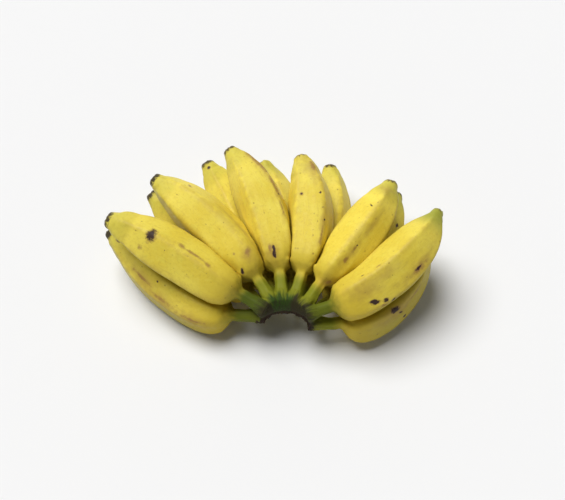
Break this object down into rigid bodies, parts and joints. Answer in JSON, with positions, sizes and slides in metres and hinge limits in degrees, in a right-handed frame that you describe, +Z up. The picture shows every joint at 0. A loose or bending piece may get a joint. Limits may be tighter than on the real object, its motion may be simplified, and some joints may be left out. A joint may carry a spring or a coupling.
{
  "type": "hand of bananas",
  "caption": "Hand of plump short bananas lying on its outer curve: two fanned rows of ripe fingers joined by their stalks to one curved, cut crown.",
  "frame": {"origin": "middle of the bounding box, on the surface that the hand lies on", "axes": "+Z up; fingers fan out towards +Y and to both sides along X; the cut side of the crown faces -Y"},
  "size_m": [0.2618, 0.1592, 0.0743],
  "materials": {
    "crown": "fibrous, green skin with a dry brown cut",
    "peel": "satin, waxy, with brown freckles and scars"
  },
  "bodies": {
    "root": {"crown": "crown", "upper_banana_1": "peel", "upper_banana_2": "peel", "upper_banana_3": "peel", "upper_banana_4": "peel", "upper_banana_5": "peel", "upper_banana_6": "peel", "lower_banana_1": "peel", "lower_banana_2": "peel", "lower_banana_3": "peel", "lower_banana_4": "peel", "lower_banana_5": "peel", "lower_banana_6": "peel", "lower_banana_7": "peel"}
  },
  "joints": []
}
